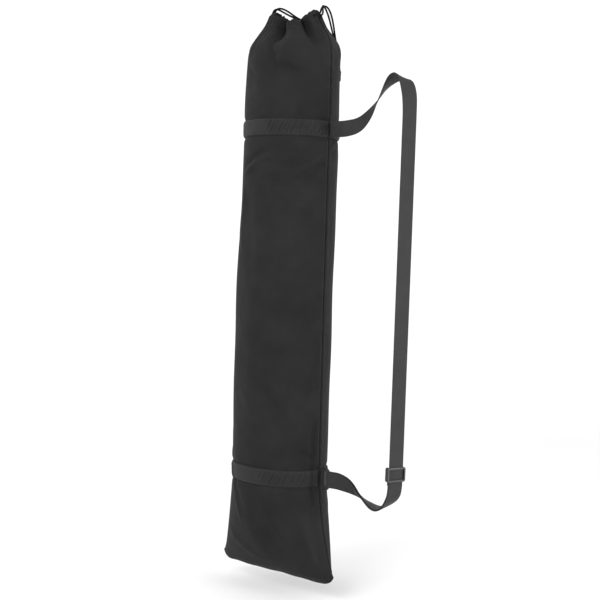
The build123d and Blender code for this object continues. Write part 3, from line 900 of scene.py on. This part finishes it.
    def cloth_uv(self, angle: np.ndarray, along: np.ndarray) -> np.ndarray:
        """Metres of cloth round and along, for a grid of angles by distances along."""
        return np.stack(np.broadcast_arrays(angle[None, :] * self.ROLL_RADIUS, along[:, None]), -1)

    def panel(self, name: str, first: float, last: float) -> bpy.types.Object:
        """One panel from the bottom seam to the foot of the hem, between two angles."""
        angle = np.radians(np.linspace(first, last, self.panel_columns))
        share = np.linspace(0, 1, self.panel_rows) ** 0.92
        level = BOTTOM_Z + (-self.hem - BOTTOM_Z) * share
        grid = self.points(angle[None, :], level[:, None])
        piece = surface_object(name, grid, self.cloth_uv(angle, level))
        solid = piece.modifiers.new("cloth", "SOLIDIFY")
        solid.thickness, solid.offset = self.thickness, -1.0
        return piece

    def hem_sleeve(self, name: str, first: float, last: float) -> bpy.types.Object:
        """The gathered sleeve that the cords run in: a soft closed loop carried round the mouth.

        Formula: the loop's outer face follows the cloth, its top rolls over half a circle, and its
        inner face goes down a few millimetres further in.
        """
        angle = np.radians(np.linspace(first, last, self.hem_columns))
        steps, bead = 12, 3.0 * MM
        face = np.linspace(-self.hem - 1.5 * MM, -bead, steps)
        roll = np.linspace(0, np.pi, 9)[1:-1]
        level = np.concatenate([face, -bead + bead * np.sin(roll), face[::-1]])
        outer = 0.35 * MM * np.sin(np.linspace(0, np.pi, steps))
        inner = -self.hem_depth * np.sin(np.linspace(np.pi / 2, 0.35, steps))
        lift = np.concatenate([outer, -self.hem_depth / 2 * (1 - np.cos(roll)), inner])
        level = np.append(level, level[0])
        lift = np.append(lift, lift[0])
        grid = self.points(angle[None, :], level[:, None], lift[:, None])
        along = arc_lengths(np.stack([level, lift], 1))
        piece = surface_object(name, grid, self.cloth_uv(angle, along))
        weld(piece)
        return piece

    def build(self, wardrobe: Wardrobe) -> None:
        """Both panels, both hem sleeves, the seam tapes and the stitching."""
        faces = (("front", -180), ("back", 0))
        for face, first in faces:
            panel = self.panel(f"{face}_panel_cloth", first, first + 180)
            dress(panel, wardrobe.cloth, "bag", (f"{face}_panel",))
        for face, first in faces:
            sleeve = self.hem_sleeve(f"{face}_casing_cloth", first + self.ear_gap, first + 180 - self.ear_gap)
            dress(sleeve, wardrobe.cloth, "bag", (f"{face}_casing",))
        self.side_tapes(wardrobe)
        self.sewing(wardrobe)

    def side_tapes(self, wardrobe: Wardrobe) -> None:
        """Bound seam allowances standing in from the side seams and the bottom seam."""
        for name, angle, node in (("left_seam_tape", -np.pi, "left_seam_binding"),
                                  ("right_seam_tape", 0.0, "right_seam_binding")):
            level = np.linspace(-0.868, -0.040, 160)
            middle = self.points(np.full(len(level), angle), level, -6.6 * MM)
            inward, side = (np.broadcast_to(axis, middle.shape) for axis in np.eye(3)[:2])
            piece = carry_profile(name, middle, inward, side, rounded_strip(9 * MM, 2.2 * MM, 3, 6))
            dress(piece, wardrobe.tape, "bag", (node,))
        x = np.linspace(-0.098, 0.098, 60)
        centres = np.stack([x, 0.2 * MM * np.sin(x * 160), np.full(len(x), -0.8880)], 1)
        side, up = (np.broadcast_to(axis, centres.shape) for axis in np.eye(3)[1:])
        piece = carry_profile("bottom_seam_tape", centres, up, side, rounded_strip(8 * MM, 2.0 * MM, 3, 6))
        dress(piece, wardrobe.tape, "bag", ("bottom_seam_binding",))

    def sewing(self, wardrobe: Wardrobe) -> None:
        """Rows of stitches at the foot of the hem, beside the side seams and above the bottom."""
        around = np.radians(np.arange(-179, 180, 3.1))
        rows = [(around, np.full(len(around), -self.hem + 1.2 * MM))]
        tall = np.arange(-0.885, -0.030, self.stitch_pitch)
        rows += [(np.full(len(tall), np.radians(angle)), tall) for angle in (-3.4, 3.4, -176.6, 176.6)]
        x = np.arange(-0.104, 0.1045, self.stitch_pitch)
        turn = np.arccos(np.clip(x / 0.1160, -1, 1))
        rows += [(-side * turn, np.full(len(x), -0.8925)) for side in (-1, 1)]
        seam = Seam()
        for angle, level in rows:
            here = self.points(angle, level, 0.12 * MM)
            seam.add(here, self.points(angle, level, 3 * MM) - here)
        piece = seam.piece("seam_stitches", self.stitch_length, self.stitch_radius)
        dress(piece, wardrobe.thread, "bag")


def weld(piece: bpy.types.Object) -> None:
    """Merges points that lie on each other and turns the faces outwards."""
    work = bmesh.new()
    work.from_mesh(piece.data)
    bmesh.ops.remove_doubles(work, verts=work.verts, dist=1e-6)
    open_edges = [e for e in work.edges if e.is_boundary]
    if open_edges:
        bmesh.ops.holes_fill(work, edges=open_edges, sides=0)
    bmesh.ops.recalc_face_normals(work, faces=work.faces)
    work.to_mesh(piece.data)
    work.free()


# ---------------------------------------------------------------------------
# Bands, tabs and strap
# ---------------------------------------------------------------------------


@dataclass
class Band:
    """Webbing sewn round the tube, open at the right seam where a tab comes out.

    The puckers run between two angles given in degrees.
    """

    name: str
    node: str
    middle: float
    pucker_from: float
    pucker_to: float
    pucker_height: float
    width: float = 25 * MM
    thickness: float = 1.4 * MM
    opening: float = np.radians(2.4)
    columns: int = 420
    pucker_length: float = 6.3 * MM
    fine_length: float = 3.9 * MM
    pucker_slant: float = 0.45
    stitch_pitch: float = 3.3 * MM
    stitch_inset: float = 2.0 * MM

    def ripple(self, angle: np.ndarray, across: np.ndarray) -> np.ndarray:
        """Slanting puckers where the stitching has drawn the webbing short: a rounded wave."""
        low, high = np.radians(self.pucker_from), np.radians(self.pucker_to)
        begun, ended = smooth_step(angle, low - 0.12, low + 0.05), smooth_step(angle, high - 0.05, high + 0.1)
        inside = begun * (1 - ended)
        slant = 2 * np.pi * (angle * TubeCloth.ROLL_RADIUS - self.pucker_slant * across)
        wave = np.sin(slant / self.pucker_length) + 0.35 * np.sin(slant / self.fine_length + 1.0)
        hold = np.cos(np.pi * np.clip(across / self.width, -0.5, 0.5)) ** 0.7
        return self.pucker_height * (inside * hold + 0.16) * wave

    def wrapped(self, turn: np.ndarray) -> np.ndarray:
        """Turns counted from the right seam as angles on the cloth, from the left seam round."""
        angle = turn - 2 * np.pi
        return np.where(angle < -np.pi, angle + 2 * np.pi, angle)

    def build(self, cloth: TubeCloth, wardrobe: Wardrobe) -> None:
        """The band and its two rows of stitches.

        Formula: the outline of a thin strip carried round the cloth, each point as high off the
        cloth as the outline says, with the puckers added on its outer face.
        """
        angle = self.wrapped(np.linspace(self.opening, 2 * np.pi - self.opening, self.columns))
        outline = rounded_strip(self.width, self.thickness, 3, 14)
        across, height = outline[:, 0], outline[:, 1] + self.thickness / 2
        grid_angle = np.broadcast_to(angle[:, None], (len(angle), len(across)))
        level = cloth.level_at(grid_angle, self.middle + across[None, :])
        ripple = self.ripple(grid_angle, np.broadcast_to(across, grid_angle.shape))
        lift = height[None, :] + ripple * (0.35 + 0.65 * (height > self.thickness / 2)) + 0.1 * MM
        grid = cloth.points(grid_angle, level, lift)
        run = np.linspace(0, 2 * np.pi, self.columns) * TubeCloth.ROLL_RADIUS
        uv = np.stack(np.broadcast_arrays(across[None, :], run[:, None]), -1)
        dress(capped_object(self.name, grid, uv), wardrobe.band, "bag", (self.node,))
        seam = Seam()
        first, pitch = self.opening + 0.02, self.stitch_pitch / TubeCloth.ROLL_RADIUS
        turn = self.wrapped(np.arange(first, 2 * np.pi - first, pitch))
        for edge in (-1, 1):
            off_edge = edge * (self.width / 2 - self.stitch_inset)
            level = cloth.level_at(turn, self.middle + off_edge)
            raised = self.thickness + self.ripple(turn, np.full(len(turn), off_edge)) + 0.12 * MM
            here = cloth.points(turn, level, raised)
            seam.add(here, cloth.points(turn, level, raised + 3 * MM) - here)
        dress(seam.piece(self.name + "_stitches", 2.2 * MM, 0.34 * MM), wardrobe.thread, "bag")


# Which way the webbing faces on its long straight run beside the tube
RUN_TURN = np.radians(20.0)
RUN_FACE = (float(np.sin(RUN_TURN)), float(np.cos(RUN_TURN)), 0.0)


@dataclass
class Strap:
    """Shoulder strap: one webbing from the upper seam, folded over its crest and down to the ring."""

    width: float = 25 * MM
    thickness: float = 1.4 * MM
    ring_bar_x: float = 100 * MM
    # Radius of the turn round the ring's bar, and how far apart the doubled layers lie elsewhere
    wrap: float = 2.7 * MM
    layer_gap: float = 1.75 * MM
    adjuster_z: float = -708 * MM
    samples: int = 521
    tack_columns: tuple = (0.0965, 0.0991, 0.1017)
    # Middle line in millimetres with the direction across the webbing
    route: tuple = (
        ((69, 0, -193), (0, 0, 1)), ((80, 0, -193), (0, 0, 1)), ((95, 0, -193), (0, 0, 1)),
        ((110, 0, -193), (0, 0, 1)), ((130, 7, -188), (-0.40, 0.22, 0.89)),
        ((149, 8, -171), (-0.57, 0.53, 0.63)), ((163, 7, -153), (-0.39, 0.82, 0.42)),
        ((178, 5, -134), (-0.47, 0.87, -0.05)), ((198, 4, -117), (0.15, 0.93, -0.33)),
        ((216, 2, -123), (0.50, 0.80, -0.30)), ((226, -1, -145), (0.46, 0.88, 0)),
        ((227, 0, -170), RUN_FACE), ((227, 0, -200), RUN_FACE), ((227, 0, -300), RUN_FACE),
        ((227, 0, -600), RUN_FACE), ((227, 0, -700), RUN_FACE),
        ((227, 0, -731), RUN_FACE), ((221, 4, -746), (0.20, 0.97, -0.10)),
        ((206, 7, -762), (-0.05, 0.97, 0.15)), ((188, 8, -769), (0, 1, 0.08)),
        ((164, 8, -758), (0, 0.88, -0.47)), ((140, 6, -743), (0, 0.50, -0.86)),
        ((120, 0, -735.5), (0, 0.15, -0.99)), ((107, -2.7, -735), (0, 0, -1)),
        ((100, -2.7, -735), (0, 0, -1)),
    )

    def line(self) -> tuple[np.ndarray, np.ndarray, np.ndarray]:
        """Middle line, direction across and face normal, close together in the turns.

        Formula: a quadratic spline through the route's corners, and the same spline through the
        directions across, squared up to the line.
        """
        corners = np.array([p for p, _ in self.route], float) * MM
        directions = np.array([d for _, d in self.route], float)
        both = quadratic_spline(np.hstack([corners, directions]), self.samples)
        points, across = both[:, :3], both[:, 3:]
        along = unit(np.gradient(points, axis=0))
        across = unit(across - along * np.sum(across * along, 1, keepdims=True))
        return points, across, np.cross(along, across)

    def build(self, wardrobe: Wardrobe) -> None:
        """The strap with its turn round the ring, the layer that comes back, and its stitches."""
        points, across, normal = self.line()
        outline = rounded_strip(self.width, self.thickness, 3, 12)
        turn = np.linspace(-np.pi / 2, -3 * np.pi / 2, 15)[1:]
        loop = np.stack([self.ring_bar_x + self.wrap * np.cos(turn), self.wrap * np.sin(turn),
                         np.full(len(turn), LOWER_BAND_Z)], 1)
        loop_across = np.broadcast_to([0.0, 0.0, -1.0], loop.shape)
        loop_normal = np.cross(unit(np.gradient(np.vstack([points[-1:], loop]), axis=0))[1:], loop_across)
        centres = np.vstack([points, loop])
        piece = carry_profile("shoulder_strap_webbing", centres, np.vstack([across, loop_across]),
                              np.vstack([normal, loop_normal]), outline)
        piece.data.materials.append(wardrobe.webbing)
        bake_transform(piece)
        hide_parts("shoulder_strap", "upper_strap_tab")
        self.doubled_end(points, across, normal, loop[-1:], wardrobe)
        self.sewing(wardrobe)

    def doubled_end(self, points: np.ndarray, across: np.ndarray, normal: np.ndarray, start: np.ndarray,
                    wardrobe: Wardrobe) -> None:
        """The layer that comes back from the ring to the adjuster, on the side its turn ends on.

        Args:
            points: The strap's middle line.
            across: Directions across it.
            normal: Directions off its face.
            start: Where the turn round the ring's bar ends, one row.
            wardrobe: The materials.
        """
        inside = (points[:, 2] < self.adjuster_z) & (points[:, 0] > self.ring_bar_x + 2 * MM)
        low, low_across, low_normal = points[inside][::-1], across[inside][::-1], normal[inside][::-1]
        share = np.linspace(1, 0, len(low))
        towards = np.sign(low_normal[share > 0.85, 1].sum())
        gap = self.layer_gap + (2 * self.wrap - self.layer_gap) * smooth_step(share, 0.55, 1.0)
        layer = np.vstack([start, low + towards * low_normal * gap[:, None]])
        layer_across = np.vstack([low_across[:1], low_across])
        layer_normal = np.vstack([low_normal[:1], low_normal])
        outline = rounded_strip(self.width, self.thickness, 3, 12)
        piece = carry_profile("strap_return_webbing", layer, layer_across, layer_normal, outline)
        piece.data.materials.append(wardrobe.webbing)
        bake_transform(piece)
        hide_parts("strap_return")

    def sewing(self, wardrobe: Wardrobe) -> None:
        """Upright rows of stitches through the strap's root, on both its faces."""
        upright = np.arange(-10.0, 10.1, 2.9) * MM + UPPER_BAND_Z
        seam = Seam()
        for side in (-1, 1):
            for x in self.tack_columns:
                here = np.stack(np.broadcast_arrays(x, side * 0.85 * MM, upright), 1)
                seam.add(here, np.broadcast_to([0.0, float(side), 0.0], here.shape),
                         np.broadcast_to([0.0, 0.0, 1.0], here.shape))
        piece = seam.piece("strap_root_stitches", 2.3 * MM, 0.42 * MM)
        dress(piece, wardrobe.thread, "strap", ("strap_end_tacks",))


# ---------------------------------------------------------------------------
# Drawstrings
# ---------------------------------------------------------------------------


@dataclass(frozen=True)
class Strand:
    """One free drawstring end: its exit from the ear, its straight start and its route, in mm."""

    name: str
    node: str
    body: str
    length: float
    route: tuple


STRANDS = (
    Strand("left_cord_front", "left_strand_front", "left_cord_ends", 0.1808,
           ((-45.37, -9, -11.55), (-47.94, -3.16, -9.86), (-44, -2.5, 2), (-35, -3, 2.5), (-24, 1, -4),
            (-12, 7, -11), (-3, 19, -14), (0, 33, -14), (1.5, 46, -17), (3, 57, -32), (4.5, 67, -52),
            (4.6, 74.5, -70), (4, 76.5, -84), (3.9, 76.6, -94))),
    Strand("left_cord_back", "left_strand_back", "left_cord_ends", 0.1714,
           ((-45.37, 9, -11.55), (-47.94, 3.16, -9.86), (-45, 2.7, 4), (-36, 6, 6), (-25, 12, 0),
            (-15, 20, -9), (-7.5, 31, -14), (-5, 44, -16), (-4.5, 54, -27), (-3.5, 63, -43),
            (-2, 70.5, -59), (-0.5, 75.5, -73), (0, 77, -85), (0.1, 77.1, -94))),
    Strand("right_cord_front", "right_strand_front", "right_cord_ends", 0.1459,
           ((45.37, -9, -16.55), (47.94, -3.16, -14.86), (53, -2.8, -13), (54, -1, -2.5), (56.5, 7, -0.5),
            (54, 18, -4), (50.5, 29, -12), (46.5, 39.5, -25), (42.5, 49.5, -42), (40.5, 58.5, -58),
            (39.5, 64.5, -74), (39.4, 68, -92))),
    Strand("right_cord_back", "right_strand_back", "right_cord_ends", 0.1461,
           ((45.37, 9, -16.55), (47.94, 3.16, -14.86), (54, 2.8, -13.5), (51.5, 5, -4), (47, 10, 3),
            (44.5, 20.5, -1), (43, 31, -12), (40.5, 42, -28), (38, 52.5, -44), (36.5, 61.7, -60),
            (35.8, 66, -76), (35.6, 68.3, -92))),
)


@dataclass
class Drawstrings:
    """Two drawstrings: each runs round inside the hem and out of one ear, its ends knotted."""

    diameter: float = 3.0 * MM
    knot_radius: float = 1.35 * MM
    knot_scale: tuple = (1.02, 1.9, 1.02)
    tail: float = 12.1
    # Angle inside the hem, from the cord's own ear, where its hidden stretch starts
    hidden_from: float = np.radians(13.0)
    hidden_radius: float = 1.25 * MM
    hidden_samples: int = 150
    # Where each side's cord stops following the ear and starts to follow its pulled end
    drawn_out: dict = field(default_factory=lambda: {
        "left_cord_ends": ((-0.046, 0, 0), (-0.018, 0, 0)),
        "right_cord_ends": ((0, 0.008, 0), (0, 0.036, 0))})
    knots: tuple = (("left_overhand_knot", "left_knot", "left_cord_ends", (2, 77, -97)),
                    ("right_overhand_knot", "right_knot", "right_cord_ends", (37.5, 68.6, -95)))

    def route_points(self, strand: Strand) -> np.ndarray:
        """Points along a strand's route, read from its smooth spline."""
        curve = bpy.data.curves.new(strand.name + "_route", "CURVE")
        curve.dimensions = "3D"
        spline = curve.splines.new("NURBS")
        spline.points.add(len(strand.route) - 1)
        flat = np.hstack([np.array(strand.route, float) * MM, np.ones((len(strand.route), 1))])
        spline.points.foreach_set("co", flat.ravel())
        spline.order_u = 3
        spline.use_endpoint_u = True
        spline.resolution_u = 8
        carrier = bpy.data.objects.new(strand.name + "_route", curve)
        bpy.context.collection.objects.link(carrier)
        bpy.context.view_layer.update()
        line = bpy.data.meshes.new_from_object(carrier.evaluated_get(bpy.context.evaluated_depsgraph_get()))
        points = np.empty(len(line.vertices) * 3)
        line.vertices.foreach_get("co", points)
        bpy.data.objects.remove(carrier)
        bpy.data.meshes.remove(line)
        return points.reshape(-1, 3)

    def knot(self, name: str, centre: tuple) -> bpy.types.Object:
        """Overhand knot in both ends: a trefoil of cord pulled tight, with two tails.

        Formula: x = sin t + 2 sin 2t, y = -sin 3t, z = cos t - 2 cos 2t, scaled to the knot.
        """
        t = np.linspace(0, 2 * np.pi, 97)
        x, z = np.sin(t) + 2 * np.sin(2 * t), np.cos(t) - 2 * np.cos(2 * t)
        loop = np.stack([x, -1.1 * np.sin(3 * t), z], 1)
        loop = loop * np.array(self.knot_scale) * MM + np.array(centre) * MM
        parts = [tube_object(name, loop, self.knot_radius, 10)]
        drop = np.linspace(4.0, -self.tail, 18) * MM
        spread = 1.9 * MM + 0.5 * MM * np.clip(-drop / 0.012, 0, 1)
        size = np.full(len(drop), self.diameter / 2)
        size[-2:] *= (1.04, 0.86)
        for side in (-1, 1):
            tail = np.stack([centre[0] * MM + side * spread, np.full(len(drop), centre[1] * MM),
                             centre[2] * MM + drop], 1)
            parts.append(tube_object(name + "_tail", tail, size, 10))
        return merged(name, parts)

    def hidden_run(self, name: str, cloth: TubeCloth, depth: float, side: int) -> bpy.types.Object:
        """The stretch inside the hem, along the middle of its sleeve."""
        turn = np.linspace(self.hidden_from, 2 * np.pi - self.hidden_from, self.hidden_samples)
        angle = turn if side > 0 else turn + np.pi
        angle = (angle + np.pi) % (2 * np.pi) - np.pi
        points = cloth.points(angle, np.full(len(angle), -depth), -cloth.hem_depth / 2)
        return tube_object(name, points, self.hidden_radius, 8)

    def build(self, cloth: TubeCloth, wardrobe: Wardrobe) -> None:
        """Both hidden runs, both knots and the four free strands."""
        for name, node, depth, side in (("left_cord_in_hem", "left_drawstring_run", 7.0 * MM, -1),
                                        ("right_cord_in_hem", "right_drawstring_run", 11.5 * MM, 1)):
            dress(self.hidden_run(name, cloth, depth, side), wardrobe.cord, "bag", (node,))
        for name, node, body, centre in self.knots:
            piece = dress(self.knot(name, centre), wardrobe.cord, body, (node,))
        for strand in STRANDS:
            points = self.route_points(strand)
            piece = tube_object(strand.name, points, self.diameter / 2, 12)
            piece.data.materials.append(wardrobe.cord)
            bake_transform(piece)
            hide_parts(strand.node)


# ---------------------------------------------------------------------------
# Fittings, studio and camera
# ---------------------------------------------------------------------------


@dataclass
class Fittings:
    """Moulded ring and adjuster, the ring's webbing tab and their stitches, kept from the frame."""

    kept: tuple = (("lower_ring", "plastic"), ("strap_adjuster", "plastic"), ("lower_ring_tab", "tab"),
                   ("sewn_strap_end", "fold"), ("ring_tab_tacks", "thread"))

    def build(self, frame: dict, wardrobe: Wardrobe) -> None:
        """Gives each kept node its finish."""
        for node, finish in self.kept:
            piece = frame["nodes"][node]
            material = getattr(wardrobe, finish)
            for place in range(len(piece.material_slots)):
                piece.material_slots[place].material = material
            if not piece.material_slots:
                piece.data.materials.append(material)
            log.info("%s keeps its shape with %s", node, material.name)


@dataclass
class Studio:
    """Pale floor with a curved rise behind, soft light and the camera."""

    # Level directions from the tube to the camera, and to the camera's right
    towards: tuple = (0.643, -0.766, 0.0)
    right: tuple = (0.766, 0.643, 0.0)
    floor_z: float = -0.925
    floor_radius: float = 1.2
    floor_flat: float = 1.6
    camera_place: tuple = (1.21519, -1.40937, -0.37768)
    lens: float = 69.908
    pitch: float = 0.0443807
    roll: float = 0.03486
    yaw: float = -0.000949

    def build(self) -> None:
        """Camera, lights, world and floor."""
        self.camera()
        self.lights()
        self.floor()

    def camera(self) -> None:
        """Camera at 40 degrees round to the right, tilted a little down and rolled."""
        towards, right, up = unit(np.array(self.towards)), unit(np.array(self.right)), np.eye(3)[2]
        side = right * np.cos(self.yaw) + towards * np.sin(self.yaw)
        back = towards * np.cos(self.yaw) - right * np.sin(self.yaw)
        look = -back * np.cos(self.pitch) - up * np.sin(self.pitch)
        top = np.cross(side, look)
        c, s = np.cos(self.roll), np.sin(self.roll)
        x_axis, y_axis = c * side + s * top, c * top - s * side
        data = bpy.data.cameras.new("studio_camera")
        data.lens, data.sensor_width = self.lens, 36.0
        data.clip_start, data.clip_end = 0.05, 50.0
        camera = bpy.data.objects.new("studio_camera", data)
        bpy.context.collection.objects.link(camera)
        basis = np.eye(4)
        basis[:3, 0], basis[:3, 1], basis[:3, 2] = x_axis, y_axis, -look
        basis[:3, 3] = self.camera_place
        camera.matrix_world = Matrix(basis.tolist())
        bpy.context.scene.camera = camera

    def lights(self) -> None:
        """Soft boxes from above, the left and the right, and an even pale world."""
        for name, place, size, power in (("key_light", (0.2, -2.6, 1.3), 1.6, 40.0),
                                         ("left_light", (-1.9, -1.2, 0.2), 1.4, 10.0),
                                         ("right_light", (2.2, 0.3, -0.3), 1.2, 29.0)):
            data = bpy.data.lights.new(name, "AREA")
            data.shape, data.size, data.energy = "SQUARE", size, power
            light = bpy.data.objects.new(name, data)
            bpy.context.collection.objects.link(light)
            light.location = place
            aim = Vector((0, 0, -0.45)) - Vector(place)
            light.rotation_mode = "QUATERNION"
            light.rotation_quaternion = aim.to_track_quat("-Z", "Y")
        world = bpy.data.worlds.new("studio_world")
        bpy.context.scene.world = world
        world.use_nodes = True
        background = next(n for n in world.node_tree.nodes if n.type == "BACKGROUND")
        background.inputs[0].default_value = (1, 1, 1, 1)
        background.inputs[1].default_value = 1.0
        bpy.context.scene.view_settings.view_transform = "Standard"

    def floor(self) -> None:
        """Flat floor that curves up into a backdrop behind the tube.

        Formula: along the line away from the camera, flat, then a quarter circle, then upright.
        """
        towards, right = np.array(self.towards), np.array(self.right)
        radius, start = self.floor_radius, self.floor_flat
        bend = np.linspace(0, np.pi / 2, 25)
        run = np.concatenate([[-6.0, -2.0, 0.0], start + radius * np.sin(bend), [start + radius]])
        rise = np.concatenate([[0.0, 0.0, 0.0], radius * (1 - np.cos(bend)), [5.0]])
        across = np.linspace(-7, 7, 9)
        grid = (-towards * run[:, None, None] + right * across[None, :, None]
                + np.array([0, 0, 1.0]) * (self.floor_z + rise)[:, None, None])
        along = arc_lengths(np.stack([run, rise], 1))
        uv = np.stack(np.broadcast_arrays(across[None, :], along[:, None]), -1)
        piece = surface_object("studio_floor_sweep", grid, uv)
        piece.data.materials.append(BackdropFinish().material())


def main() -> dict:
    """Loads the frame and builds every sub-assembly in order.

    Returns:
        The frame as loaded.
    """
    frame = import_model()
    Studio().build()
    wardrobe = Wardrobe()
    cloth = TubeCloth()
    Drawstrings().build(cloth, wardrobe)
    cloth.build(wardrobe)
    Band("upper_band_webbing", "upper_band", UPPER_BAND_Z, -78.0, -5.0, 1.0 * MM).build(cloth, wardrobe)
    Band("lower_band_webbing", "lower_band", LOWER_BAND_Z, -74.0, -14.0, 0.85 * MM).build(cloth, wardrobe)
    Strap().build(wardrobe)
    Fittings().build(frame, wardrobe)
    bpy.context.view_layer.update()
    return frame


if __name__ == "__main__":
    logging.basicConfig(level=logging.INFO)
    main()
